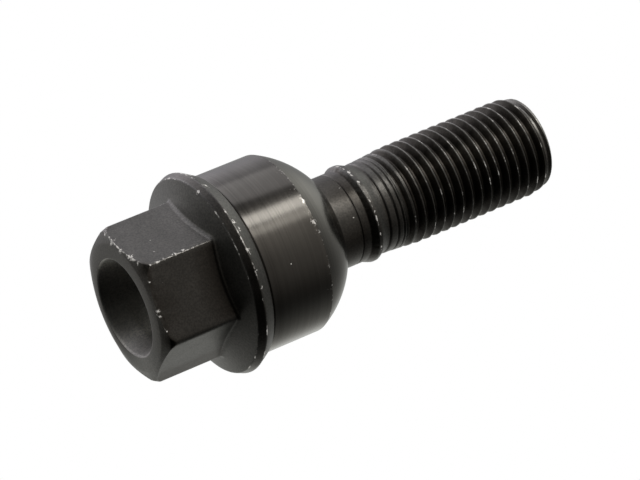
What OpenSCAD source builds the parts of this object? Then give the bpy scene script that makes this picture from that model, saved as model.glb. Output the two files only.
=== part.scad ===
// Wheel bolt with a captive ball-seat ring.
// Frame: the bolt's axis is +Z, from the head's end face at z = 0 to the tip.
// One corner of the hexagon points along +X. All lengths are in millimetres.

/* [Head] */
// Width of the hexagon across its flats
hex_af = 19; // [17:0.5:21]
// Height at which the middle of a flat would meet the flange's cone
hex_h = 10.5; // [8:0.5:14]
// Diameter of the flat end face, inside the chamfer
end_face_d = 18.8; // [17:0.1:18.8]
// Angle of the end chamfer, from the end face
end_chamfer_deg = 26; // [15:1:30]
// Diameter at which the steep chamfer of the corners starts
corner_chamfer_d = 21; // [20:0.1:21.4]
// Angle of the steep chamfer of the corners, from the end face
corner_chamfer_deg = 60; // [45:1:70]
// How far the skirt at the foot of a flat stands out of the flat
skirt_w = 0.45; // [0.3:0.05:0.8]
// Height of the skirt along the flat
skirt_h = 0.65; // [0.4:0.05:1]

/* [Recess] */
// Diameter of the recess in the end face
recess_d = 13.7; // [10:0.1:14.4]
// Depth of the recess at its middle
recess_depth = 8.5; // [6:0.5:10]
// Depth of the tapered wall, above the domed bottom
recess_wall_h = 3; // [2.5:0.5:5.5]
// Taper of the recess wall
recess_draft_deg = 4; // [1:0.5:6]
// Width of the chamfer round the lip
recess_lip = 0.3; // [0.1:0.05:0.5]

/* [Flange] */
// Largest diameter of the flange, at its ridge
flange_d = 28.5; // [26:0.5:32]
// Angle of the flange's conical top, from the end face
flange_top_deg = 20; // [12:1:22]
// Radial width of the front bevel
flange_bevel_w = 0.45; // [0.2:0.05:0.8]
// Height of the front bevel
flange_bevel_h = 1.1; // [0.6:0.1:1.6]
// Diameter of the flange's back face
flange_back_d = 26.4; // [26:0.1:26.8]
// Height of the back bevel
flange_back_h = 1.8; // [1:0.1:3]

/* [Seat ring] */
// Outside diameter of the ring
ring_d = 25.4; // [24:0.1:26]
// Length of the ring
ring_l = 14.5; // [12:0.5:18]
// Radius of the ball seat
ball_r = 14; // [13:0.5:15]
// Diameter of the nose face
nose_d = 17.2; // [16:0.1:18.4]
// Width of the chamfer round the ring's back edge
ring_edge = 0.3; // [0.1:0.05:0.5]
// Width of the chamfer at each end of the bore
bore_edge = 0.4; // [0.2:0.05:0.5]
// Radial play between the shank and the bore
ring_play = 0.25; // [0.15:0.05:0.4]
// Gap between the flange and the ring where it rests
rest_gap = 0.1; // [0.05:0.05:0.3]

/* [Shank] */
// Diameter of the plain shank
shank_d = 13; // [12:0.1:13.2]
// How far the ring can float along the shank before it meets the bead
ring_float = 5.3; // [2:0.1:8]
// Depth of the fine turned groove before the bead
groove_depth = 0.1; // [0.05:0.05:0.3]
// Width of the turned groove
groove_w = 0.2; // [0.2:0.05:0.6]
// Plain length between the groove and the bead
groove_gap = 1.2; // [0.5:0.1:2]

/* [Bead] */
// Diameter of the retaining bead at its crest
bead_d = 14; // [13.7:0.1:14.4]
// Length of the bead's steep front, which stops the ring
bead_front_l = 0.65; // [0.3:0.05:1]
// Length of the bead's crest
bead_crest_l = 0.6; // [0.3:0.1:1.5]
// Length of the bead's long back, down to the valley
bead_back_l = 1.6; // [0.5:0.1:2.5]
// Depth of the valley behind the bead
valley_depth = 0.1; // [0.05:0.01:0.3]
// Length of the step from the valley up to the plain band
valley_step_l = 0.35; // [0.2:0.05:0.6]

/* [Thread] */
// Nominal diameter of the thread
thread_d = 14; // [13.8:0.1:14.4]
// Length of the plain band between the valley and the run-out
band_l = 0.8; // [0.8:0.1:3]
// Length of the run-out, over which the thread grows to its full depth
runout_l = 5; // [3:0.5:8]
// Length of the full thread, with the tapered tip
thread_l = 21; // [15:0.5:40]
// Length over which the thread's first turns taper towards the tip
tip_taper_l = 2.1; // [1:0.1:3]
// Diameter at the small end of the taper
tip_taper_d = 12.9; // [12.4:0.1:13.6]
// Diameter of the tip's end face
tip_d = 12; // [10:0.1:12.2]
// Height of the chamfer round the tip's end face
tip_edge_h = 0.3; // [0.1:0.05:1]

/* [Hidden] */
// Segments of a full circle
$fn = 96;
// How far one body reaches into the next where they are joined
merge = 0.5;
flats = 6;

// Head and flange
hex_r = hex_af / 2 / cos(30);
end_chamfer_h = (corner_chamfer_d - end_face_d) / 2 * tan(end_chamfer_deg);
corner_chamfer_h = (hex_r + merge - corner_chamfer_d / 2) * tan(corner_chamfer_deg);
flange_r = flange_d / 2;
flange_top_r = flange_r - flange_bevel_w;
flange_top_z = hex_h + (flange_top_r - hex_af / 2) * tan(flange_top_deg);
ridge_z = flange_top_z + flange_bevel_h;
back_z = ridge_z + flange_back_h;

// The foot of each flat follows the cone of the flange, which lies lower at the corners.
// The arc through the middle and the corners of that line has this radius.
foot_sag = (hex_r - hex_af / 2) * tan(flange_top_deg);
foot_half = hex_r * sin(30);
foot_arc_r = (foot_half * foot_half + foot_sag * foot_sag) / (2 * foot_sag);
// Height of the skirt's top edge at the middle of a flat
skirt_z = hex_h + skirt_w * tan(flange_top_deg) - skirt_h;

// Recess
recess_r = recess_d / 2;
recess_foot_r = recess_r - recess_wall_h * tan(recess_draft_deg);
dome_h = recess_depth - recess_wall_h;
dome_r = (recess_foot_r * recess_foot_r + dome_h * dome_h) / (2 * dome_h);

// Ring
ring_z = back_z + rest_gap;
ring_end_z = ring_z + ring_l;
ring_r = ring_d / 2;
bore_r = shank_d / 2 + ring_play;
ball_z = ring_end_z - sqrt(ball_r * ball_r - nose_d * nose_d / 4);

// Shank, bead and thread
shank_r = shank_d / 2;
bead_z = ring_end_z + ring_float;
crest_z = bead_z + bead_front_l;
valley_z = crest_z + bead_crest_l + bead_back_l;
band_z = valley_z + valley_step_l;
runout_z = band_z + band_l;
thread_z = runout_z + runout_l;
tip_z = thread_z + thread_l;

// Hexagon, chamfered at the end by two cones so that each flat ends in an arc
module hexagon() {
    intersection() {
        linear_extrude(height = flange_top_z)
            circle(r = hex_r, $fn = flats);
        rotate_extrude()
            polygon([
                [0, 0],
                [end_face_d / 2, 0],
                [corner_chamfer_d / 2, end_chamfer_h],
                [hex_r + merge, end_chamfer_h + corner_chamfer_h],
                [hex_r + merge, flange_top_z],
                [0, flange_top_z]
            ]);
    }
}

// Skirt at the foot of one flat: a cone about the flat's normal, so that its edge is bowed
module skirt() {
    skirt_arc_r = foot_arc_r - (skirt_z - hex_h);
    skirt_slope = skirt_h / skirt_w;
    // The cone starts inside the hexagon and ends inside the flange
    outer_w = skirt_w + merge / 2;
    intersection() {
        translate([hex_af / 2 - merge, 0, hex_h + foot_arc_r])
            rotate([0, 90, 0])
                rotate_extrude()
                    polygon([
                        [0, 0],
                        [skirt_arc_r + merge * skirt_slope, 0],
                        [skirt_arc_r - outer_w * skirt_slope, merge + outer_w],
                        [0, merge + outer_w]
                    ]);
        // Only the sixth of the head that belongs to this flat
        linear_extrude(height = flange_top_z)
            polygon([
                [0, 0],
                [flange_r, -flange_r * tan(30)],
                [flange_r, flange_r * tan(30)]
            ]);
    }
}

// Flange: conical top, steep front bevel, ridge, back bevel and flat back face
module flange() {
    cone_foot_z = hex_h - hex_af / 2 * tan(flange_top_deg);
    rotate_extrude()
        polygon([
            [0, cone_foot_z],
            [flange_top_r, flange_top_z],
            [flange_r, ridge_z],
            [flange_back_d / 2, back_z],
            [0, back_z]
        ]);
}

// Recess: a tapered wall with a chamfered lip, cut off by the ball of the domed bottom
module recess() {
    dome_z = recess_depth - dome_r;
    foot_z = recess_depth + merge;
    intersection() {
        rotate_extrude()
            polygon([
                [0, -merge],
                [recess_r + recess_lip + merge, -merge],
                [recess_r - recess_lip * tan(recess_draft_deg), recess_lip],
                [recess_r - foot_z * tan(recess_draft_deg), foot_z],
                [0, foot_z]
            ]);
        union() {
            translate([0, 0, dome_z])
                sphere(r = dome_r);
            translate([0, 0, -2 * merge])
                cylinder(r = dome_r + 2 * merge, h = dome_z + 2 * merge);
        }
    }
}

// Shank with its fine groove, the bead that keeps the ring on it, and the valley behind the bead
module shank() {
    groove_z = bead_z - groove_gap - groove_w;
    rotate_extrude()
        polygon([
            [0, back_z - merge],
            [shank_r, back_z - merge],
            [shank_r, groove_z],
            [shank_r - groove_depth, groove_z + groove_w / 2],
            [shank_r, groove_z + groove_w],
            [shank_r, bead_z],
            [bead_d / 2, crest_z],
            [bead_d / 2, crest_z + bead_crest_l],
            [shank_r - valley_depth, valley_z],
            [shank_r, band_z],
            [shank_r, band_z + merge],
            [0, band_z + merge]
        ]);
}

// Body of the thread at its full diameter: plain band, run-out, cylinder, taper and chamfered tip
module threaded_end() {
    thread_r = thread_d / 2;
    rotate_extrude()
        polygon([
            [0, band_z],
            [shank_r, band_z],
            [shank_r, runout_z],
            [thread_r, thread_z],
            [thread_r, tip_z - tip_edge_h - tip_taper_l],
            [tip_taper_d / 2, tip_z - tip_edge_h],
            [tip_d / 2, tip_z],
            [0, tip_z]
        ]);
}

module bolt() {
    color([0.24, 0.24, 0.23])
        difference() {
            union() {
                hexagon();
                for (i = [0 : flats - 1])
                    rotate([0, 0, 60 * i + 30])
                        skirt();
                flange();
                shank();
                threaded_end();
            }
            recess();
        }
}

// Ring blank: chamfered back edge, cylinder, ball seat and flat nose
module ring_blank() {
    intersection() {
        rotate_extrude()
            polygon([
                [0, ring_z],
                [ring_r - ring_edge, ring_z],
                [ring_r, ring_z + ring_edge],
                [ring_r, ring_end_z],
                [0, ring_end_z]
            ]);
        translate([0, 0, ball_z])
            sphere(r = ball_r);
    }
}

module seat_ring() {
    color([0.45, 0.44, 0.42])
        difference() {
            union() {
                ring_blank();
                // The cylinder runs past the widest circle of the ball
                translate([0, 0, ring_z + ring_edge])
                    cylinder(r = ring_r, h = ball_z - ring_z - ring_edge);
            }
            rotate_extrude()
                polygon([
                    [0, ring_z - merge],
                    [bore_r + bore_edge + merge, ring_z - merge],
                    [bore_r, ring_z + bore_edge],
                    [bore_r, ring_end_z - bore_edge],
                    [bore_r + bore_edge + merge, ring_end_z + merge],
                    [0, ring_end_z + merge]
                ]);
        }
}

bolt();
seat_ring();
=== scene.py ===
"""Dressed model of a wheel bolt with a captive ball-seat ring.

The bolt stands on its head, its axis is +Z, and one corner of the hexagon points along +X.
Lengths are written in millimetres and made metres where a mesh, lamp or camera is placed.
"""
import math

import bpy
import numpy as np
from mathutils import Matrix, Vector
from mathutils.bvhtree import BVHTree


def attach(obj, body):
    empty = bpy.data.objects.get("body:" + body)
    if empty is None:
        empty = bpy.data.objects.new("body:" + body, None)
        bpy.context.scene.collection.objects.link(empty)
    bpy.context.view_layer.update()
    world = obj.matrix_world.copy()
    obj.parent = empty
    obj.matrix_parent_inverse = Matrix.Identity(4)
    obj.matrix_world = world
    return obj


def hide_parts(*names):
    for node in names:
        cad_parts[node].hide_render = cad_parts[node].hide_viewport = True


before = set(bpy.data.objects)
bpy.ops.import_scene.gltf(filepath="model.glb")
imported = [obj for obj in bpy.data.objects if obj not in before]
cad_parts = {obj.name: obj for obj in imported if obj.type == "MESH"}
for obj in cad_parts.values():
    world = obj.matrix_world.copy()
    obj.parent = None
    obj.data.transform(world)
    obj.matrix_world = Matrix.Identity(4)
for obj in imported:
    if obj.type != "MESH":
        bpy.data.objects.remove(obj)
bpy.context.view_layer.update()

MM = 0.001

# Head; the hexagon's corners are worn round by different amounts, the first one at +X
APOTHEM = 9.5
CORNER_RADII = [0.4, 0.3, 0.9, 0.5, 0.5, 0.4]
CROWN_R = 7.4
END_FACE_R = 9.4
CORNER_CONE_R = 10.5
END_CONE = math.tan(math.radians(26))
CORNER_CONE = math.tan(math.radians(60))
FLANGE_CONE = math.tan(math.radians(20))
HEX_H = 10.5
FILLET_CUT = 0.49
RECESS_R = 6.85
RECESS_DEPTH = 8.5
RECESS_WALL_H = 3.0
RECESS_DRAFT = math.tan(math.radians(18))
LIP_CUT = 0.36
FLANGE_TOP_R = 13.8
RIDGE_R = 14.25
BEVEL_H = 1.1
BACK_R = 13.2
BACK_H = 1.8
FLANGE_TOP_Z = HEX_H + (FLANGE_TOP_R - APOTHEM) * FLANGE_CONE
RIDGE_Z = FLANGE_TOP_Z + BEVEL_H
BACK_Z = RIDGE_Z + BACK_H
RECESS_EDGE_R = 6.98

# Shank, bead and thread
SHANK_R = 6.5
UNDER_RING_Z = 24
GROOVE_Z = 33.53
GROOVE_DEPTH = 0.09
BEAD_Z = 34.84
BEAD_R = 6.99
VALLEY_R = 6.43
THREAD_R = 7.0
PITCH = 1.543
CREST_AT_CAMERA = 53.97
CAMERA_AZIMUTH = math.radians(80.814)
RUN_OUT_START = 37.55
HELIX_START = 40.3
GROOVES_END_Z = 40.55
CHAMFER_SHOWS_Z = 63.75
CREST_SOFTNESS = 0.035
TIP_SOFTNESS = 0.03
# Each groove: height of its middle, half width, depth, and climb in one turn
RUN_OUT_GROOVES = [
    (37.77, 0.26, 0.15, 0.3), (39.12, 0.14, 0.13, 0.7), (39.97, 0.12, 0.11, 0.9), (40.34, 0.07, 0.06, 1.0),
]
TIP_TAPER_Z = 62.465
TIP_TAPER_R = 6.45
TIP_EDGE_Z = 64.565
TIP_Z = 64.865
TIP_R = 6.0

# Seat ring
RING_Z = 15.065
RING_END_Z = 29.565
RING_R = 12.7
BALL_R = 14.0
NOSE_R = 8.6
BORE_R = 6.75
RING_CHAMFER = 0.3
BORE_CHAMFER = 0.4
BORE_SEAM_Z = 22.0
RING_COLUMNS = 240

# Camera, fitted to the photograph's outline, and its own three directions in the part's frame
CAMERA_AT = Vector((76.305, 481.620, -199.133)) * MM
CAMERA_LOOKS = Vector((-0.14448, -0.89343, 0.42534)).normalized()
CAMERA_UP = Vector((0.93769, 0.01366, 0.34720))
CAMERA_RIGHT = CAMERA_LOOKS.cross(CAMERA_UP).normalized()
CAMERA_UP = CAMERA_RIGHT.cross(CAMERA_LOOKS).normalized()
LENS = 225
SENSOR = 36

# Colours of the steel: the mottled black and its grain, the ring's and its turned lines, and bare metal
BLACK_LOW = (0.158, 0.154, 0.143, 1)
BLACK_HIGH = (0.204, 0.197, 0.184, 1)
BLACK_GRAIN = (0.094, 0.094, 0.09, 1)
RING_LOW = (0.188, 0.18, 0.166, 1)
RING_HIGH = (0.218, 0.209, 0.192, 1)
RING_LINES = (0.09, 0.085, 0.08, 1)
BARE_STEEL = (0.93, 0.9, 0.85, 1)

# The photograph's size in pixels, and knocks seen in it: a pixel's x and y, and the knock's reach in mm
PHOTO_WIDE = 640
PHOTO_HIGH = 480
END_RIM_KNOCKS = [
    (104.7, 233.7, 0.45), (111.3, 242.3, 0.6), (120, 251, 0.4), (129.3, 257, 0.55), (138, 263.7, 0.3),
    (157.6, 312.3, 0.4), (160, 316.3, 0.32), (166.7, 331.7, 0.14), (149.3, 282.3, 0.22),
]
CORNER_KNOCKS = [
    (156.7, 262.3, 0.35), (164, 259, 0.25), (174.7, 253.7, 0.4), (182.7, 250.3, 0.35),
]
FLAT_KNOCKS = [
    (154, 251.4, 0.18), (150.35, 240.3, 0.12), (162.7, 282.6, 0.12),
]
FLANGE_KNOCKS = [
    (190.3, 175.4, 0.5), (205.6, 185.6, 0.45), (198, 192, 0.35), (233.8, 221.5, 0.4), (239, 229, 0.35),
    (249, 251, 0.45), (257, 270, 0.25), (262, 288, 0.3), (263, 298.5, 0.25),
]
SHANK_KNOCKS = [
    (339.8, 187.8, 0.15), (353.8, 218, 0.13),
]
RING_KNOCKS = [
    (314, 222, 0.5), (319.5, 231, 0.3), (303.2, 201.3, 0.35), (343.7, 240.7, 0.2), (291, 264, 0.12),
]


def mesh_object(name, verts, faces, sharp_deg, **attributes):
    """Makes a mesh from arrays in millimetres, with smooth faces and edges sharp above an angle."""
    mesh = bpy.data.meshes.new(name)
    mesh.from_pydata((verts * MM).tolist(), [], [f.tolist() for f in faces])
    mesh.update()
    for key, values in attributes.items():
        layer = mesh.attributes.new(key, "FLOAT", "POINT")
        layer.data.foreach_set("value", values.astype(np.float32))
    mesh.shade_smooth()
    mesh.set_sharp_from_angle(angle=math.radians(sharp_deg))
    obj = bpy.data.objects.new(name, mesh)
    bpy.context.scene.collection.objects.link(obj)
    return obj


def sheet_faces(index):
    """Faces between the rows of a vertex-index grid; a quad with two equal corners becomes a triangle."""
    a, b = index[:-1, :-1].ravel(), index[:-1, 1:].ravel()
    c, d = index[1:, 1:].ravel(), index[1:, :-1].ravel()
    quads = np.stack([a, b, c, d], 1)
    same = quads == np.roll(quads, -1, axis=1)
    whole = quads[same.sum(1) == 0]
    part = quads[same.sum(1) == 1]
    keep = ~same[same.sum(1) == 1]
    tris = part[keep].reshape(-1, 3)
    return [whole, tris]


def close_surface(name, points, sharp_deg, **attributes):
    """Joins a grid of points (rows, columns, 3) into one closed mesh, merging points that coincide."""
    flat = points.reshape(-1, 3)
    _, first, back = np.unique(np.round(flat, 5), axis=0, return_index=True, return_inverse=True)
    index = back.reshape(points.shape[:2])
    whole, tris = sheet_faces(index)
    faces = list(whole) + list(tris)
    picked = {key: values.reshape(-1)[first] for key, values in attributes.items()}
    return mesh_object(name, flat[first], faces, sharp_deg, **picked)


def rounded(corners, before, after, steps):
    """Rounds each corner of a section, by a circular arc where the cuts on its two sides are equal.

    corners is (corners, columns, 2); the curve starts `before` ahead of the corner and ends
    `after` past it, and each cut is held to 0.45 of its side's length."""
    out = [corners[:1]]
    for k in range(1, len(corners) - 1):
        back = corners[k - 1] - corners[k]
        ahead = corners[k + 1] - corners[k]
        back_l = np.linalg.norm(back, axis=-1, keepdims=True)
        ahead_l = np.linalg.norm(ahead, axis=-1, keepdims=True)
        cut_b = np.minimum(np.reshape(before[k], (-1, 1)), 0.45 * back_l)
        cut_a = np.minimum(np.reshape(after[k], (-1, 1)), 0.45 * ahead_l)
        back = back / np.maximum(back_l, 1e-9)
        ahead = ahead / np.maximum(ahead_l, 1e-9)
        start = corners[k] + back * cut_b
        end = corners[k] + ahead * cut_a
        pull = np.sqrt(np.clip((1 - (back * ahead).sum(-1, keepdims=True)) / 2, 0, 1))
        t = np.linspace(0, 1, steps[k] + 1)[:, None, None]
        weight = (1 - t) ** 2 + 2 * t * (1 - t) * pull + t ** 2
        out.append(((1 - t) ** 2 * start + 2 * t * (1 - t) * pull * corners[k] + t ** 2 * end) / weight)
    out.append(corners[-1:])
    return np.concatenate(out)


def hexagon_columns():
    """Angles round the head, the hexagon's radius there, and the cosine from ray to wall normal.

    Each corner is an arc of its own radius, and each flat lies at APOTHEM / cos(angle from its middle)."""
    angle, radius, lean = [], [], []
    for k in range(6):
        start, end = CORNER_RADII[k], CORNER_RADII[(k + 1) % 6]
        beta = np.radians(np.linspace(-30, 30, 7)[:-1])
        centre = (APOTHEM - start) / math.cos(math.radians(30))
        x, y = centre + start * np.cos(beta), start * np.sin(beta)
        first = math.atan2(start * 0.5, centre + start * math.cos(math.radians(30)))
        next_centre = (APOTHEM - end) / math.cos(math.radians(30))
        last = math.radians(60) - math.atan2(end * 0.5, next_centre + end * math.cos(math.radians(30)))
        flat = np.linspace(first, last, 29)[:-1]
        here = np.concatenate([np.arctan2(y, x), flat])
        angle.append(here + math.radians(60 * k))
        radius.append(np.concatenate([np.hypot(x, y), APOTHEM / np.cos(flat - math.radians(30))]))
        lean.append(np.concatenate([np.cos(beta - np.arctan2(y, x)), np.cos(flat - math.radians(30))]))
    return np.concatenate(angle), np.concatenate(radius), np.concatenate(lean)


def lobe(degrees, middle, width):
    """A smooth bump of height 1 at an angle round the axis, the same one turn further on."""
    away = (degrees - middle + 180) % 360 - 180
    return np.exp(-(away / width) ** 2)


def end_rim_rise(angle):
    """How far the rim of the forged end lies behind its middle: most on one side, least at a corner."""
    degrees = np.degrees(angle)
    return 0.1 + 0.4 * lobe(degrees, 268, 56) + 0.07 * lobe(degrees, 105, 38) - 0.07 * lobe(degrees, 30, 20)


def crest_limit(z):
    """How far above the shank the rolls let the metal rise: little in the run-out, all in the thread."""
    return np.interp(z, [37.6, 38.1, 39.0, 39.3, 40.0, 40.7, 41.6, 43.2, 44.7, 46.0],
                     [-0.02, 0.02, 0.03, 0.08, 0.12, 0.17, 0.27, 0.43, 0.48, 0.5])


def thread_radius(turn, z, swept):
    """Radius of the rolled thread at a place in its turn (0 at the crest, 0.5 at the root) and a height.

    The section has a narrow round crest, straight flanks and a flat root, cut off by a limit that
    falls in the run-out and by the taper at the tip. Below GROOVES_END_Z narrow grooves stand for it,
    each a round dip that climbs a little with the angle swept round the bolt."""
    from_crest = np.abs((turn + 0.5) % 1 - 0.5)
    flank = np.interp(from_crest, [0.0, 0.02, 0.045, 0.075, 0.39, 0.43, 0.5],
                      [0.5, 0.492, 0.455, 0.385, -0.40, -0.42, -0.42])
    lift = np.interp(z, [40.2, 41.0, 42.4, 44.0], [0.20, 0.13, 0.05, 0.0])
    cap = crest_limit(z)
    gap = (flank + lift) - cap
    helix = SHANK_R + cap + 0.5 * (gap - np.hypot(gap, CREST_SOFTNESS))
    bands = SHANK_R + cap
    for middle, half, deep, climb in RUN_OUT_GROOVES:
        away = (z - middle - climb * swept) / half
        bands = bands - deep * np.exp(-away * away * 1.5)
    share = np.clip((z - GROOVES_END_Z - 1.2 * swept) / 0.3, 0, 1)
    body = bands * (1 - share) + helix * share
    taper = np.interp(z, [TIP_TAPER_Z - 0.1, TIP_TAPER_Z, TIP_EDGE_Z, TIP_Z],
                      [9.0, THREAD_R, TIP_TAPER_R, TIP_R])
    gap = body - taper
    return taper + 0.5 * (gap - np.hypot(gap, TIP_SOFTNESS))


def ripple(angle, z, seed, waves, reach, tall):
    """Smooth random values between about -1 and 1 round a body: a sum of sines of angle and height.

    Each wave goes round the body fewer than `reach` times, and `tall` spreads the waves' rise."""
    rng = np.random.default_rng(seed)
    total = np.zeros(np.broadcast(angle, z).shape)
    for turns, rise, phase in zip(rng.integers(1, reach, waves), rng.normal(0, tall, waves),
                                  rng.uniform(0, 2 * math.pi, waves)):
        total = total + np.sin(turns * angle + rise * z + phase)
    return total / math.sqrt(waves / 2) / 2


def bolt_surface():
    """The whole bolt as one closed surface of rows (along the section) and columns (round the axis)."""
    angle, hex_r, lean = hexagon_columns()
    n = len(angle)
    one = np.ones(n)
    closed_angle = np.append(angle, angle[0] + 2 * math.pi)

    foot_r = RECESS_R - RECESS_WALL_H * RECESS_DRAFT
    dome_h = RECESS_DEPTH - RECESS_WALL_H
    dome_r = (foot_r ** 2 + dome_h ** 2) / (2 * dome_h)
    dome_z = RECESS_DEPTH - dome_r
    swing = np.linspace(0, math.asin(foot_r / dome_r) * 0.96, 18)[:, None]
    dome = np.stack([dome_r * np.sin(swing) * one, (dome_z + dome_r * np.cos(swing)) * one], -1)

    rise = end_rim_rise(angle)
    slope = np.maximum(END_CONE, rise)
    end_r = np.minimum(hex_r, CORNER_CONE_R)
    end_z = rise + (end_r - END_FACE_R) * slope
    wall_z = end_z + (hex_r - end_r) * CORNER_CONE
    cone_z = HEX_H + (hex_r - APOTHEM) * FLANGE_CONE
    foot_cut = 0.9 * one
    lean_on = bead_lean(angle)
    # Each row: radius, height, how far the rounding reaches back and ahead, and its steps. The end
    # face falls away from CROWN_R outwards with the square of the distance.
    wall = [
        (dome[-1, :, 0], dome[-1, :, 1], 0.3 * one, 0.3 * one, 0),
        (foot_r * one, RECESS_WALL_H * one, foot_cut, foot_cut, 3),
        (RECESS_R * one, 0 * one, LIP_CUT * one, LIP_CUT * one, 7),
        (CROWN_R * one, 0 * one, 0.1 * one, 0.1 * one, 1),
        ((CROWN_R + 0.5) * one, 0.25 ** 2 * rise, 0.1 * one, 0.1 * one, 1),
        ((CROWN_R + 1.0) * one, 0.5 ** 2 * rise, 0.1 * one, 0.1 * one, 1),
        ((CROWN_R + 1.5) * one, 0.75 ** 2 * rise, 0.1 * one, 0.1 * one, 1),
        ((END_FACE_R - 0.3) * one, 0.8 * rise, 0.06 * one, 0.06 * one, 1),
        (end_r, end_z, 0.08 * one, 0.08 * one, 2),
        (hex_r, wall_z, 0.2 * one, 0.22 * one, 5),
        (hex_r, wall_z + 0.6, 0.1 * one, 0.1 * one, 1),
        (hex_r, (wall_z + cone_z) / 2, one, one, 2),
        (hex_r, cone_z, FILLET_CUT * one, FILLET_CUT / lean, 8),
        ((FLANGE_TOP_R - 1.6) * one, (FLANGE_TOP_Z - 1.6 * FLANGE_CONE) * one, 0.3 * one, 0.3 * one, 1),
        ((FLANGE_TOP_R - 0.35) * one, (FLANGE_TOP_Z - 0.35 * FLANGE_CONE) * one, 0.02 * one, 0.02 * one, 1),
        (FLANGE_TOP_R * one, FLANGE_TOP_Z * one, 0.14 * one, 0.12 * one, 4),
        ((FLANGE_TOP_R + 0.12) * one, (FLANGE_TOP_Z + 0.29) * one, 0.02 * one, 0.02 * one, 1),
        ((RIDGE_R - 0.12) * one, (RIDGE_Z - 0.29) * one, 0.02 * one, 0.02 * one, 1),
        (RIDGE_R * one, RIDGE_Z * one, 0.12 * one, 0.15 * one, 4),
        ((RIDGE_R - 0.17) * one, (RIDGE_Z + 0.29) * one, 0.02 * one, 0.02 * one, 1),
        (BACK_R * one, BACK_Z * one, 0.15 * one, 0.15 * one, 3),
        (SHANK_R * one, BACK_Z * one, 0.3 * one, 0.3 * one, 3),
        (SHANK_R * one, UNDER_RING_Z * one, one, one, 1),
        (SHANK_R * one, (GROOVE_Z - 0.15) * one, 0.05 * one, 0.05 * one, 1),
        ((SHANK_R - GROOVE_DEPTH) * one, GROOVE_Z * one, 0.03 * one, 0.03 * one, 2),
        (SHANK_R * one, (GROOVE_Z + 0.13) * one, 0.05 * one, 0.05 * one, 2),
        (SHANK_R * one, BEAD_Z * one, 0.14 * one, 0.14 * one, 3),
        ((BEAD_R - 0.01) * one, BEAD_Z + 0.58 + 0.35 * lean_on, 0.16 * one, 0.16 * one, 5),
        (BEAD_R * one, BEAD_Z + 0.75 + 0.32 * lean_on, 0.05 * one, 0.05 * one, 1),
        (BEAD_R * one, BEAD_Z + 0.92 + 0.29 * lean_on, 0.05 * one, 0.05 * one, 1),
        (BEAD_R * one, BEAD_Z + 1.09 + 0.25 * lean_on, 0.05 * one, 0.05 * one, 1),
        ((BEAD_R - 0.01) * one, BEAD_Z + 1.26 + 0.22 * lean_on, 0.05 * one, 0.3 * one, 4),
        ((BEAD_R - 0.24) * one, BEAD_Z + 1.81 + 0.1 * lean_on, 0.1 * one, 0.1 * one, 1),
        ((BEAD_R - 0.37) * one, (BEAD_Z + 2.11) * one, 0.15 * one, 0.3 * one, 2),
        (VALLEY_R * one, RUN_OUT_START * one, 0.0 * one, 0.0 * one, 0),
    ]
    corners = np.stack([np.stack([r, z], -1) for r, z, _, _, _ in wall])
    before, after, arc_steps = zip(*[row[2:] for row in wall])
    section = rounded(corners, before, after, arc_steps)
    section = np.concatenate([dome[:-1], section])

    steps = np.array([-0.5, -0.43, -0.40, -0.36, -0.22, -0.11, -0.075, -0.045, -0.02, 0.0,
                      0.02, 0.045, 0.075, 0.11, 0.22, 0.36, 0.40, 0.43])
    level = np.arange(RUN_OUT_START, HELIX_START - 0.02, 0.055)[:, None] * np.ones(n + 1)
    first = math.floor((HELIX_START - CREST_AT_CAMERA) / PITCH) - 2
    last = math.ceil((TIP_EDGE_Z - CREST_AT_CAMERA) / PITCH) + 2
    turn = (np.arange(first, last + 1)[:, None] + steps[None, :]).ravel()
    swept = (closed_angle - CAMERA_AZIMUTH) / (2 * math.pi)
    z = CREST_AT_CAMERA + PITCH * (turn[:, None] + swept[None, :])
    z = np.concatenate([level, np.clip(z, HELIX_START, TIP_EDGE_Z)])
    place = (z - CREST_AT_CAMERA) / PITCH - swept
    # The grooves climb with the angle from the camera's side, and come back to level behind the bolt
    round_way = (swept + 0.5) % 1 - 0.5
    climb = round_way * np.clip(np.abs(np.abs(round_way) - 0.5) * 8, 0, 1)
    r = thread_radius(place, z, climb[None, :])
    join = np.clip((z - RUN_OUT_START) / 0.35, 0, 1)
    r = VALLEY_R * (1 - join) + r * join
    crest = np.clip(1 - np.abs((place + 0.5) % 1 - 0.5) / 0.16, 0, 1) * np.clip((z - 40.5) / 2, 0, 1)
    r = r + 0.025 * crest * ripple(closed_angle[None, :], z, seed=5, waves=30, reach=40, tall=3.0)

    tip = np.array([[6.40, 64.63], [6.27, 64.76], [6.12, 64.83], [TIP_R - 0.06, TIP_Z],
                    [5.0, TIP_Z], [2.5, TIP_Z], [0.0, TIP_Z]])
    body = np.concatenate([section, section[:, :1]], 1)
    rows_r = np.concatenate([body[:, :, 0], r, np.repeat(tip[:, :1], n + 1, 1)])
    rows_z = np.concatenate([body[:, :, 1], z, np.repeat(tip[:, 1:], n + 1, 1)])
    theta = np.broadcast_to(closed_angle, rows_r.shape)
    points = np.stack([rows_r * np.cos(theta), rows_r * np.sin(theta), rows_z], -1)
    worn = bolt_wear(rows_r, rows_z, theta, hex_r, wall_z, cone_z)
    # The finish's lightness, with painted light and shade in it
    tone = bolt_tone(rows_r, rows_z, theta)
    matt = in_recess(rows_r, rows_z)
    return close_surface("bolt_body", points, 24, worn=worn, tone=tone, matt=matt)


def near(value, target, width):
    """A bump of height 1 where value is target, falling to 0 at width on both sides."""
    return np.clip(1 - np.abs(value - target) / width, 0, 1)


def thread_place(z, theta):
    """Distance from the nearest crest of the thread, in turns: 0 on the crest and 0.5 in the root."""
    place = (z - CREST_AT_CAMERA) / PITCH - (theta - CAMERA_AZIMUTH) / (2 * math.pi)
    return np.abs((place + 0.5) % 1 - 0.5)


def in_recess(r, z):
    """Where the surface lies inside the recess of the head."""
    return (z < RECESS_DEPTH + 0.5) * (r < RECESS_EDGE_R)


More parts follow.
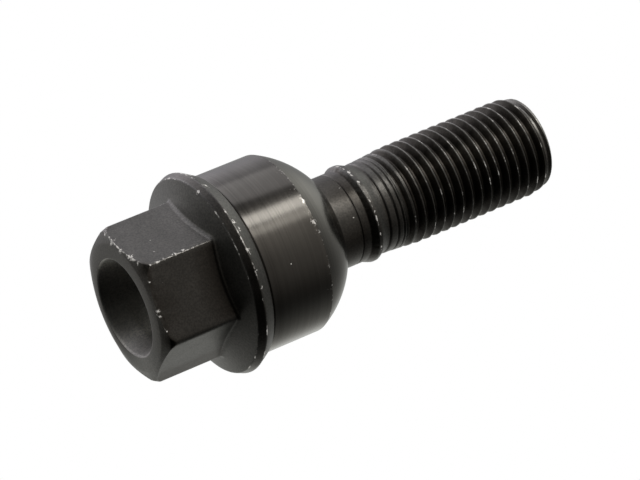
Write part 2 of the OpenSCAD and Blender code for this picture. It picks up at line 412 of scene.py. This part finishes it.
def bead_lean(theta):
    """How far the bead leans along the bolt: 0 on one side of it and 2 on the other."""
    return 1 - np.cos(theta - CAMERA_AZIMUTH + math.radians(50))


def recess_tone(r, z, degrees):
    """Greyer in the recess, partly a greyer finish and partly painted light, with painted light and shade on
    some sides of it, and painted light and shade by angle on the flat land round it.
    """
    inner = in_recess(r, z)
    # Painted light at 221 and 343 degrees and painted shade at 283 degrees round the recess
    pit = 0.85 * lobe(degrees, 221, 16) - 0.62 * lobe(degrees, 283, 30) + 1.1 * lobe(degrees, 343, 17)
    away_from_axis = np.clip((r - 1.5) / 3.5, 0, 1)
    # Painted light and shade on the flat land, by angle round the axis
    land = 0.8 * lobe(degrees, 178, 28) - 0.3 * lobe(degrees, 245, 28) - 0.26
    on_land = np.clip((r - RECESS_EDGE_R) / 0.1, 0, 1) * np.clip((END_FACE_R - r) / 0.2, 0, 1) * (z < 0.8)
    return (1 + 1.7 * inner) * (1 + pit * inner * away_from_axis) * (1 + land * on_land)


def head_tone(r, z, degrees, ragged):
    """Painted shade at the head's end corners, in the front flat's fillet, on the bevel, on the front flat
    and across the flat beyond it, and a painted highlight in the fillet of the flat at 30 degrees.
    """
    theta = np.radians(degrees)
    hexagon = APOTHEM / np.cos(theta % math.radians(60) - math.radians(30))
    on_wall = (r > END_FACE_R) * (r < hexagon + 0.1) * (z > 0.6)
    # The front flat lies between the corners at 60 and 120 degrees, and the flat with painted shade beyond
    # it
    ahead = np.cos(theta - math.radians(90))
    on_corner_cone = (r > CORNER_CONE_R - 0.3) * (r < CORNER_CONE_R + 0.7)
    on_end = (r > END_FACE_R - 0.05) * (r < CORNER_CONE_R + 0.7)
    # Painted shade along the front side of the end's edge and on the corner cones
    front_end = near(z, 0.55, 0.75) * on_end * np.clip((ahead - 0.80) / 0.06, 0, 1)
    end_corner = (near(degrees % 60, 0, 6) + near(degrees % 60, 60, 6)) * near(z, 0.9, 1.1)
    border = front_end * (0.45 + 0.3 * ragged) + 0.5 * end_corner * on_corner_cone
    # Painted shade in the front flat's fillet, and a painted highlight in the fillet of the flat at 30
    # degrees
    foot = near(r - hexagon, 0.12, 0.55) * (z > 9.7) * (z < 12) * np.clip((ahead - 0.87) / 0.03, 0, 1)
    upwards = np.clip((np.cos(theta - math.radians(30)) - 0.87) / 0.03, 0, 1)
    lit = near(r - hexagon, 0.28, 0.36) * (z > 10) * (z < 12) * upwards
    # Painted shade across the flat beyond the front one, growing towards its far corner, and on the front
    # flat and the bevel
    across = r * np.sin(theta - math.radians(150)) + 0.5 * ragged
    painted_shade_on_flat = on_wall * (degrees > 120) * (degrees < 180.5) * np.clip((across - 1.2) / 1.8, 0, 1)
    front = on_wall * (degrees > 61) * (degrees < 119) * (z < 12)
    bevel = np.clip((z - 12.2) / 0.1, 0, 1) * np.clip((13.05 - z) / 0.1, 0, 1) * (r > 13.7)
    tone = (1 - 0.65 * foot) * (1 + 0.6 * lit) * (1 - 0.42 * painted_shade_on_flat) * (1 - 0.12 * front)
    return tone * (1 - 0.25 * bevel) * (1 - np.clip(border, 0, 0.7))


def shank_tone(r, z, theta, ragged):
    """Unevenly darker on the shank, and painted shade in the hollow ahead of the leaning bead."""
    lean = 0.17 * bead_lean(theta)
    off_middle = np.abs(z - (BEAD_Z + 0.24) - lean)
    # Painted shade in the hollow ahead of the leaning bead
    gap = np.clip((0.27 + lean + 0.1 * ragged - off_middle) / 0.15, 0, 1) * (r > 6.3) * (r < 7.1)
    uneven = 0.3 + 0.17 * ripple(theta, z, seed=23, waves=30, reach=8, tall=1.2)
    shank = (z > 29) * (z < 34.9) * (r < 6.6) * uneven
    return (1 - 0.62 * gap) * (1 - shank)


def thread_tone(r, z, theta):
    """Painted shade between the ridges, a painted highlight on their crests, and lightest on the chamfer at
    the tip.
    """
    # Painted shade down between the ridges
    below_crest = SHANK_R + crest_limit(z) - 0.03 - r
    sunk = np.clip(below_crest / 0.08, 0, 1) * (z > 37.5) * (z < CHAMFER_SHOWS_Z) * (r > 6)
    full_thread = 0.5 + 0.5 * np.clip((z - 40.2) / 1.5, 0, 1)
    uneven = 1 - 0.18 * ripple(theta, z, seed=41, waves=30, reach=30, tall=3.0)
    sunk = sunk * full_thread * uneven
    # A painted highlight on the crests
    crest = np.clip((0.085 - thread_place(z, theta)) / 0.05, 0, 1) * np.clip((z - 42.8) / 2, 0, 1) * (r > 6)
    chamfer = np.clip((z - CHAMFER_SHOWS_Z) / 0.15, 0, 1) * (r > 5.95)
    return (1 + 0.9 * crest * (1 - chamfer)) * (1 - 0.55 * sunk) * (1 + 1.3 * chamfer)


def bolt_tone(r, z, theta):
    """How light the black finish is against the plain surface, with its painted light and shade, as the
    product of the zones' tones.
    """
    degrees = np.degrees(theta)
    ragged = ripple(theta, z, seed=17, waves=40, reach=60, tall=6.0)
    tone = recess_tone(r, z, degrees) * head_tone(r, z, degrees, ragged)
    return tone * shank_tone(r, z, theta, ragged) * thread_tone(r, z, theta)


def bolt_wear(r, z, theta, hex_r, wall_z, cone_z):
    """How much the black finish is rubbed off, from 0 to 1: high on edges, the bead and the crests, and more
    on the side towards the lamps, where it is partly a painted glint.
    """
    radius = np.append(hex_r, hex_r[0])[None, :]
    wall_end = np.append(wall_z, wall_z[0])[None, :]
    foot = np.append(cone_z, cone_z[0])[None, :]
    outside = r > radius - 0.25
    patchy = 0.75 + 0.45 * ripple(theta, z, seed=11, waves=20, reach=34, tall=0.2)
    streak = np.clip(ripple(theta, z, seed=31, waves=60, reach=80, tall=9.0) - 0.1, 0, 1)
    rubbed = np.clip(ripple(theta, z, seed=37, waves=40, reach=22, tall=2.4) + 0.05, 0, 1)

    # More bare edge on the side towards the lamps: wear with a painted glint
    painted_glint_side = np.clip(np.cos(theta - math.radians(20)) * 6.0 - 4.9, 0, 1)
    end_edge = near(z, wall_end, 0.26) * outside * (z < 13) * (0.75 + 0.9 * streak)
    from_corner = ((theta + math.radians(30)) % math.radians(60)) - math.radians(30)
    corner = near(from_corner, 0, math.radians(1.5)) * outside * (z > wall_end) * (z < foot - 0.3)
    corner = corner * (1 - 0.7 * near(np.degrees(theta), 120, 10))
    ridge = near(np.hypot(r - RIDGE_R, z - RIDGE_Z), 0, 0.26)
    top = near(np.hypot(r - FLANGE_TOP_R, z - FLANGE_TOP_Z), 0, 0.24)
    head = end_edge * (0.4 + 0.5 * painted_glint_side) + 0.6 * corner
    head = head + (0.88 * ridge + 0.8 * top) * (0.72 + 0.9 * streak) * patchy

    bead = near(z, BEAD_Z + 0.82 + 0.35 * bead_lean(theta), 0.26) * (r > 6.8) * (0.6 + 1.0 * streak)
    past_bead = near(z, BEAD_Z + 1.36, 0.75) * (r > SHANK_R) * (z > BEAD_Z + 0.56)
    # Bare streaks past the bead on the side towards the lamps: wear with a painted glint
    smear_and_painted_glint = near(np.degrees(theta), 38, 32) * past_bead * streak
    shank = bead * patchy + 1.6 * smear_and_painted_glint

    crest = near(thread_place(z, theta), 0, 0.12) * (z > 41) * (r > 6.6)
    # The tip's rim is bared only on the side towards the lamps: wear with a painted glint
    rim_painted_glint_side = np.clip(np.cos(theta - math.radians(40)), 0, 1)
    rim = near(z, TIP_EDGE_Z + 0.055, 0.35) * (r > 5.9) * (0.4 + 0.9 * streak) * rim_painted_glint_side
    thread = crest * (0.24 + 0.68 * rubbed) + 0.9 * rim
    return np.clip(head + shank + thread, 0, 1)


def ring_surface():
    """The seat ring as one closed lathe: back face, cylinder, ball seat, nose and bore."""
    ball_z = RING_END_Z - math.sqrt(BALL_R ** 2 - NOSE_R ** 2)
    edge_z = ball_z + math.sqrt(BALL_R ** 2 - RING_R ** 2)
    from_swing = math.asin((edge_z - ball_z) / BALL_R)
    to_swing = math.asin((RING_END_Z - ball_z) / BALL_R)
    swing = np.linspace(from_swing, to_swing, 26)
    ball = np.stack([BALL_R * np.cos(swing), ball_z + BALL_R * np.sin(swing)], 1)
    corners = np.array([
        [BORE_R, BORE_SEAM_Z], [BORE_R, RING_Z + BORE_CHAMFER], [BORE_R + BORE_CHAMFER, RING_Z],
        [RING_R - RING_CHAMFER, RING_Z], [RING_R, RING_Z + RING_CHAMFER], [RING_R, 19.5], [RING_R, edge_z],
    ])
    cuts = [0, 0.05, 0.05, 0.1, 0.1, 0.5, 0.05, 0]
    steps = [0, 2, 2, 3, 3, 1, 3, 0]
    outside = np.concatenate([corners, ball[1:2]])[:, None, :]
    first = rounded(outside, cuts, cuts, steps)[:-1, 0]
    nose = np.array([
        [NOSE_R, RING_END_Z], [BORE_R + BORE_CHAMFER, RING_END_Z], [BORE_R, RING_END_Z - BORE_CHAMFER],
        [BORE_R, BORE_SEAM_Z],
    ])
    nose_cuts = [0, 0.1, 0.05, 0.05, 0]
    inside = np.concatenate([ball[-2:-1], nose])[:, None, :]
    last = rounded(inside, nose_cuts, nose_cuts, [0, 3, 2, 2, 0])[1:, 0]
    section = np.concatenate([first, ball[1:-1], last])
    theta = np.linspace(0, 2 * math.pi, RING_COLUMNS + 1)
    theta[-1] = 0.0
    r = section[:, :1]
    points = np.stack([r * np.cos(theta), r * np.sin(theta), section[:, 1:] + 0 * theta], -1)
    worn = near(section[:, 1], edge_z, 0.25) * 0.75 * (section[:, 0] > 12)
    worn = worn + near(np.hypot(section[:, 0] - RING_R, section[:, 1] - RING_Z), 0.0, 0.5) * 0.4
    worn = np.repeat(np.clip(worn, 0, 1)[:, None], len(theta), 1)
    return close_surface("ring_body", points, 16, worn=worn)


def new_material(name):
    """An empty node material with a Principled shader; returns the material, its tree and the shader."""
    mat = bpy.data.materials.new(name)
    mat.use_nodes = True
    tree = mat.node_tree
    return mat, tree, tree.nodes["Principled BSDF"]


def node(tree, kind, **values):
    """Adds a node and sets its properties; names with a leading in_ set its input sockets."""
    made = tree.nodes.new(kind)
    for key, value in values.items():
        if key.startswith("in_"):
            made.inputs[key[3:].replace("_", " ")].default_value = value
        else:
            setattr(made, key, value)
    return made


def noise(tree, coords, scale, detail, rough, stretch=(1, 1, 1)):
    """Noise on the piece's Object coordinates, in features per metre; returns its value socket."""
    mapping = node(tree, "ShaderNodeMapping")
    mapping.inputs["Scale"].default_value = stretch
    tree.links.new(coords, mapping.inputs["Vector"])
    tex = node(tree, "ShaderNodeTexNoise", in_Scale=scale, in_Detail=detail, in_Roughness=rough)
    tree.links.new(mapping.outputs["Vector"], tex.inputs["Vector"])
    return tex.outputs["Fac"]


def remap(tree, value, low, high, to_low=0.0, to_high=1.0):
    """Maps a value's range from low..high to to_low..to_high, held at both ends."""
    made = node(tree, "ShaderNodeMapRange")
    made.inputs["From Min"].default_value = low
    made.inputs["From Max"].default_value = high
    made.inputs["To Min"].default_value = to_low
    made.inputs["To Max"].default_value = to_high
    tree.links.new(value, made.inputs["Value"])
    return made.outputs["Result"]


def maths(tree, operation, a, b):
    """One Math node of two inputs, each a socket or a number."""
    made = node(tree, "ShaderNodeMath", operation=operation)
    for socket, value in zip(made.inputs, (a, b)):
        if isinstance(value, (int, float)):
            socket.default_value = value
        else:
            tree.links.new(value, socket)
    return made.outputs["Value"]


def blend(tree, factor, a, b):
    """Mixes two colours, each a socket or a tuple, by a factor socket."""
    made = node(tree, "ShaderNodeMix", data_type="RGBA")
    tree.links.new(factor, made.inputs["Factor"])
    for socket, value in zip((made.inputs[6], made.inputs[7]), (a, b)):
        if isinstance(value, tuple):
            socket.default_value = value
        else:
            tree.links.new(value, socket)
    return made.outputs[2]


def worn_mask(tree, coords, grain, low, high):
    """Where the finish is gone: the wear attribute plus noise, cut off between low and high."""
    attr = node(tree, "ShaderNodeAttribute", attribute_name="worn")
    fine = noise(tree, coords, grain, detail=4.0, rough=0.7)
    ragged = maths(tree, "MULTIPLY", maths(tree, "SUBTRACT", fine, 0.5), 1.6)
    total = maths(tree, "ADD", attr.outputs["Fac"], ragged)
    gate = remap(tree, attr.outputs["Fac"], 0.02, 0.15)
    return maths(tree, "MULTIPLY", remap(tree, total, low, high), gate)


def specks(tree, coords, scale, size):
    """Sparse tiny dots: the inside of a Voronoi cell's centre, kept in a few cells only."""
    tex = node(tree, "ShaderNodeTexVoronoi", in_Scale=scale)
    tree.links.new(coords, tex.inputs["Vector"])
    dot = remap(tree, tex.outputs["Distance"], size * 0.6, size, 1.0, 0.0)
    split = node(tree, "ShaderNodeSeparateColor")
    tree.links.new(tex.outputs["Color"], split.inputs["Color"])
    rare = remap(tree, split.outputs["Red"], 0.93, 0.95)
    return maths(tree, "MULTIPLY", dot, rare)


def knock_places(obj, marks):
    """Where the camera's rays through pixels of the photograph meet a piece, each with its reach."""
    mesh = obj.data
    surface = BVHTree.FromPolygons([v.co for v in mesh.vertices], [f.vertices for f in mesh.polygons])
    focal = LENS / SENSOR * PHOTO_WIDE
    places = []
    for x, y, reach in marks:
        across = CAMERA_RIGHT * (x - PHOTO_WIDE / 2) + CAMERA_UP * (PHOTO_HIGH / 2 - y)
        place = surface.ray_cast(CAMERA_AT, CAMERA_LOOKS * focal + across)[0]
        places.append((place, reach * MM))
    return places


def knocks(tree, coords, places):
    """Ragged blots where a knock took the finish off, at the given places and of the given reach."""
    total = 0.0
    for place, reach in places:
        away = node(tree, "ShaderNodeVectorMath", operation="DISTANCE")
        away.inputs[1].default_value = place
        tree.links.new(coords, away.inputs[0])
        total = maths(tree, "MAXIMUM", total, remap(tree, away.outputs["Value"], 0.0, 1.6 * reach, 1.0, 0.0))
    ragged = maths(tree, "SUBTRACT", noise(tree, coords, 3000.0, detail=3.0, rough=0.65), 0.5)
    blot = remap(tree, maths(tree, "ADD", total, maths(tree, "MULTIPLY", ragged, 3.0)), 0.62, 0.85)
    return maths(tree, "MULTIPLY", blot, remap(tree, total, 0.02, 0.25))


def blackened_steel(places):
    """Satin black phosphate on steel: mottled charcoal, fine grain, bright on the edges and knocks.

    The mesh's attributes say where it's worn, how light it is with its painted light and shade, and where
    it's matt."""
    mat, tree, shader = new_material("blackened_steel")
    coords = node(tree, "ShaderNodeTexCoord").outputs["Object"]
    broad = remap(tree, noise(tree, coords, 260.0, detail=4.0, rough=0.6), 0.3, 0.7)
    fine = remap(tree, noise(tree, coords, 3600.0, detail=2.0, rough=0.6), 0.36, 0.64)
    dark = blend(tree, broad, BLACK_LOW, BLACK_HIGH)
    dark = blend(tree, maths(tree, "MULTIPLY", fine, 0.6), dark, BLACK_GRAIN)
    tone = node(tree, "ShaderNodeAttribute", attribute_name="tone").outputs["Fac"]
    # Scales the colour by the lightness, which holds painted light and shade
    toned = node(tree, "ShaderNodeVectorMath", operation="SCALE")
    tree.links.new(dark, toned.inputs[0])
    tree.links.new(tone, toned.inputs["Scale"])
    # Where the lightness is low, mostly in painted shade, the colour turns warmer: a warm tint of the
    # painted shade
    warm = node(tree, "ShaderNodeVectorMath", operation="MULTIPLY")
    warm.inputs[1].default_value = (1.07, 1.0, 0.94)
    tree.links.new(toned.outputs["Vector"], warm.inputs[0])
    warmer = remap(tree, tone, 0.45, 0.95, 1.0, 0.0)
    skin_with_painted_shade = blend(tree, warmer, toned.outputs["Vector"], warm.outputs["Vector"])
    mask = worn_mask(tree, coords, 2600.0, low=0.55, high=0.85)
    mask = maths(tree, "MAXIMUM", mask, maths(tree, "MULTIPLY", specks(tree, coords, 420.0, size=0.05), 0.8))
    mask = maths(tree, "MAXIMUM", mask, knocks(tree, coords, places))
    colour = blend(tree, mask, skin_with_painted_shade, BARE_STEEL)
    tree.links.new(colour, shader.inputs["Base Color"])
    tree.links.new(remap(tree, mask, 0.0, 1.0, 1.0, 0.35), shader.inputs["Metallic"])
    rough = remap(tree, broad, 0.0, 1.0, 0.33, 0.39)
    matt = node(tree, "ShaderNodeAttribute", attribute_name="matt").outputs["Fac"]
    rough = maths(tree, "ADD", rough, maths(tree, "MULTIPLY", matt, 0.25))
    rough = maths(tree, "ADD", rough, maths(tree, "MULTIPLY", mask, 0.15))
    tree.links.new(rough, shader.inputs["Roughness"])
    bump = node(tree, "ShaderNodeBump", in_Strength=0.5, in_Distance=0.00002)
    coarse = maths(tree, "MULTIPLY", noise(tree, coords, 620.0, detail=2.0, rough=0.5), 1.8)
    grain = noise(tree, coords, 4200.0, detail=4.0, rough=0.65)
    tree.links.new(maths(tree, "ADD", grain, coarse), bump.inputs["Height"])
    tree.links.new(bump.outputs["Normal"], shader.inputs["Normal"])
    return mat


def turned_steel(places):
    """Turned and blackened steel: smoother, with fine rings round the axis, faint scuffs and knocks."""
    mat, tree, shader = new_material("turned_steel")
    coords = node(tree, "ShaderNodeTexCoord").outputs["Object"]
    rings = noise(tree, coords, 90.0, detail=3.0, rough=0.6, stretch=(0.25, 0.25, 60))
    broad = remap(tree, noise(tree, coords, 180.0, detail=3.0, rough=0.55), 0.3, 0.7)
    dark = blend(tree, broad, RING_LOW, RING_HIGH)
    lines = remap(tree, rings, 0.35, 0.6, 0.35, 0.0)
    dark = blend(tree, lines, dark, RING_LINES)
    mask = worn_mask(tree, coords, 2400.0, low=0.75, high=1.0)
    mask = maths(tree, "MAXIMUM", mask, knocks(tree, coords, places))
    colour = blend(tree, mask, dark, BARE_STEEL)
    tree.links.new(colour, shader.inputs["Base Color"])
    tree.links.new(remap(tree, mask, 0.0, 1.0, 1.0, 0.35), shader.inputs["Metallic"])
    rough = remap(tree, rings, 0.3, 0.7, 0.17, 0.21)
    tree.links.new(rough, shader.inputs["Roughness"])
    bump = node(tree, "ShaderNodeBump", in_Strength=0.14, in_Distance=0.00001)
    tree.links.new(rings, bump.inputs["Height"])
    tree.links.new(bump.outputs["Normal"], shader.inputs["Normal"])
    return mat


# Floor
FLOOR_R = 1200
FLOOR_Z = -0.05
FLOOR_SIDES = 64

# Lamps: the point they face, height and distance in metres, and the slope of the mirrored sight line
LAMP_AIM = Vector((-1.7, -0.6, 30.5)) * MM
LAMP_TALL = 0.7
LAMP_DISTANCE = 0.6
LAMP_OUT = 0.905
LAMP_RISE = 0.425

# Soft pools of light round the room: direction along the camera's right, up and back, glow and tint
NEUTRAL = (0.99, 1.0, 0.96)
WARM = (1.06, 1.0, 0.93)
COOL = (0.98, 0.985, 1.05)
VIOLET = (1.0, 0.975, 1.06)
POOL_TIGHTNESS = 9.0
POOLS = [
    (-0.85, 0.0, -0.53, 0.279, NEUTRAL),
    (-0.53, 0.85, 0.0, 0.319, COOL),
    (-0.85, 0.0, 0.53, 0.286, NEUTRAL),
    (-0.58, -0.58, -0.58, 0.164, NEUTRAL),
    (0.0, -0.36, -0.93, 0.899, NEUTRAL),
    (-0.58, 0.58, -0.58, 1.417, VIOLET),
    (0.58, -0.58, -0.58, 0.145, NEUTRAL),
    (0.58, 0.58, -0.58, 0.859, NEUTRAL),
    (0.58, 0.58, 0.58, 0.33, WARM),
    (0.93, 0.0, 0.36, 0.18, WARM),
]


def make_camera():
    """A long lens at the photograph's angle."""
    data = bpy.data.cameras.new("camera")
    data.lens = LENS
    data.sensor_width = SENSOR
    data.clip_start, data.clip_end = 0.02, 20
    cam = bpy.data.objects.new("camera", data)
    turn = Matrix((CAMERA_RIGHT, CAMERA_UP, -CAMERA_LOOKS)).transposed().to_4x4()
    cam.matrix_world = Matrix.Translation(CAMERA_AT) @ turn
    bpy.context.scene.collection.objects.link(cam)
    bpy.context.scene.camera = cam


def softbox(name, round_deg, wide, glow, colour):
    """A tall area lamp, mirrored to the camera by the shank at an angle from its middle line.

    Its long side lies along the bolt's axis, and glow is the brightness of its face. A sight line
    keeps its slope along the axis when the shank mirrors it, and the lamp stands on that line."""
    turn = CAMERA_AZIMUTH + 2 * math.radians(round_deg)
    away = Vector((LAMP_OUT * math.cos(turn), LAMP_OUT * math.sin(turn), LAMP_RISE)).normalized()
    data = bpy.data.lights.new(name, "AREA")
    data.shape = "RECTANGLE"
    data.size, data.size_y = wide, LAMP_TALL
    data.energy = glow * math.pi * wide * LAMP_TALL
    data.color = colour
    lamp = bpy.data.objects.new(name, data)
    side = Vector((0, 0, 1)).cross(away).normalized()
    along = away.cross(side).normalized()
    facing = Matrix((side, along, away)).transposed().to_4x4()
    lamp.matrix_world = Matrix.Translation(LAMP_AIM + away * LAMP_DISTANCE) @ facing
    lamp.visible_camera = False
    bpy.context.scene.collection.objects.link(lamp)


def studio_world():
    """White backdrop for the camera, and soft pools of light in a dark room for all that is mirrored."""
    world = bpy.data.worlds.new("studio")
    bpy.context.scene.world = world
    world.use_nodes = True
    tree = world.node_tree
    tree.nodes.clear()
    path = node(tree, "ShaderNodeLightPath")
    way = node(tree, "ShaderNodeTexCoord").outputs["Generated"]
    total = None
    for right, up, back, glow, tint in POOLS:
        dot = node(tree, "ShaderNodeVectorMath", operation="DOT_PRODUCT")
        dot.inputs[1].default_value = CAMERA_RIGHT * right + CAMERA_UP * up - CAMERA_LOOKS * back
        tree.links.new(way, dot.inputs[0])
        power = maths(tree, "MULTIPLY", maths(tree, "SUBTRACT", dot.outputs["Value"], 1.0), POOL_TIGHTNESS)
        swell = node(tree, "ShaderNodeMath", operation="EXPONENT")
        tree.links.new(power, swell.inputs[0])
        pool = node(tree, "ShaderNodeVectorMath", operation="SCALE")
        pool.inputs[0].default_value = [glow * part for part in tint]
        tree.links.new(swell.outputs[0], pool.inputs["Scale"])
        if total is None:
            total = pool.outputs["Vector"]
            continue
        added = node(tree, "ShaderNodeVectorMath", operation="ADD")
        tree.links.new(total, added.inputs[0])
        tree.links.new(pool.outputs["Vector"], added.inputs[1])
        total = added.outputs["Vector"]
    ambient = node(tree, "ShaderNodeBackground", in_Color=(1, 1, 1, 1), in_Strength=0.5)
    room = node(tree, "ShaderNodeBackground", in_Strength=1.0)
    tree.links.new(total, room.inputs["Color"])
    white = node(tree, "ShaderNodeBackground", in_Color=(1, 1, 1, 1), in_Strength=1.0)
    mirrored = node(tree, "ShaderNodeMixShader")
    tree.links.new(path.outputs["Is Diffuse Ray"], mirrored.inputs[0])
    tree.links.new(room.outputs[0], mirrored.inputs[1])
    tree.links.new(ambient.outputs[0], mirrored.inputs[2])
    final = node(tree, "ShaderNodeMixShader")
    tree.links.new(path.outputs["Is Camera Ray"], final.inputs[0])
    tree.links.new(mirrored.outputs[0], final.inputs[1])
    tree.links.new(white.outputs[0], final.inputs[2])
    out = node(tree, "ShaderNodeOutputWorld")
    tree.links.new(final.outputs[0], out.inputs["Surface"])


def make_floor():
    """A round pale floor just under the head, clear from below and fading out at its rim."""
    theta = np.linspace(0, 2 * math.pi, FLOOR_SIDES + 1)[:-1]
    height = np.full(FLOOR_SIDES, FLOOR_Z)
    rim = np.stack([FLOOR_R * np.cos(theta), FLOOR_R * np.sin(theta), height], 1)
    floor = mesh_object("floor", rim, [np.arange(FLOOR_SIDES)], 30)
    mat, tree, shader = new_material("pale_floor")
    tree.nodes.remove(shader)
    coords = node(tree, "ShaderNodeTexCoord").outputs["Object"]
    length = node(tree, "ShaderNodeVectorMath", operation="LENGTH")
    tree.links.new(coords, length.inputs[0])
    fade = remap(tree, length.outputs["Value"], 0.25, 1.0)
    under = node(tree, "ShaderNodeNewGeometry").outputs["Backfacing"]
    clear = maths(tree, "MAXIMUM", fade, under)
    paper = node(tree, "ShaderNodeBsdfDiffuse", in_Color=(0.86, 0.86, 0.86, 1))
    open_air = node(tree, "ShaderNodeBsdfTransparent")
    mix = node(tree, "ShaderNodeMixShader")
    tree.links.new(clear, mix.inputs[0])
    tree.links.new(paper.outputs[0], mix.inputs[1])
    tree.links.new(open_air.outputs[0], mix.inputs[2])
    tree.links.new(mix.outputs[0], tree.nodes["Material Output"].inputs["Surface"])
    floor.data.materials.append(mat)
    floor.visible_glossy = False
    floor.visible_diffuse = False
    floor.visible_transmission = False
    floor.visible_shadow = False


bolt = bolt_surface()
bolt_marks = END_RIM_KNOCKS + CORNER_KNOCKS + FLAT_KNOCKS + FLANGE_KNOCKS + SHANK_KNOCKS
bolt.data.materials.append(blackened_steel(knock_places(bolt, bolt_marks)))
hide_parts("bolt")
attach(bolt, "bolt")

ring = ring_surface()
ring.data.materials.append(turned_steel(knock_places(ring, RING_KNOCKS)))
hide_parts("seat_ring")
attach(ring, "ring")

make_camera()
studio_world()
softbox("key_strip", round_deg=-19.6, wide=0.135, glow=2.45, colour=(1.02, 1.0, 0.97))
softbox("key_edge", round_deg=-12.0, wide=0.096, glow=0.9, colour=(1.03, 1.0, 0.95))
softbox("top_box", round_deg=-42.0, wide=0.377, glow=0.5, colour=(1.0, 0.985, 1.02))
make_floor()

bpy.context.scene.view_settings.view_transform = "Standard"
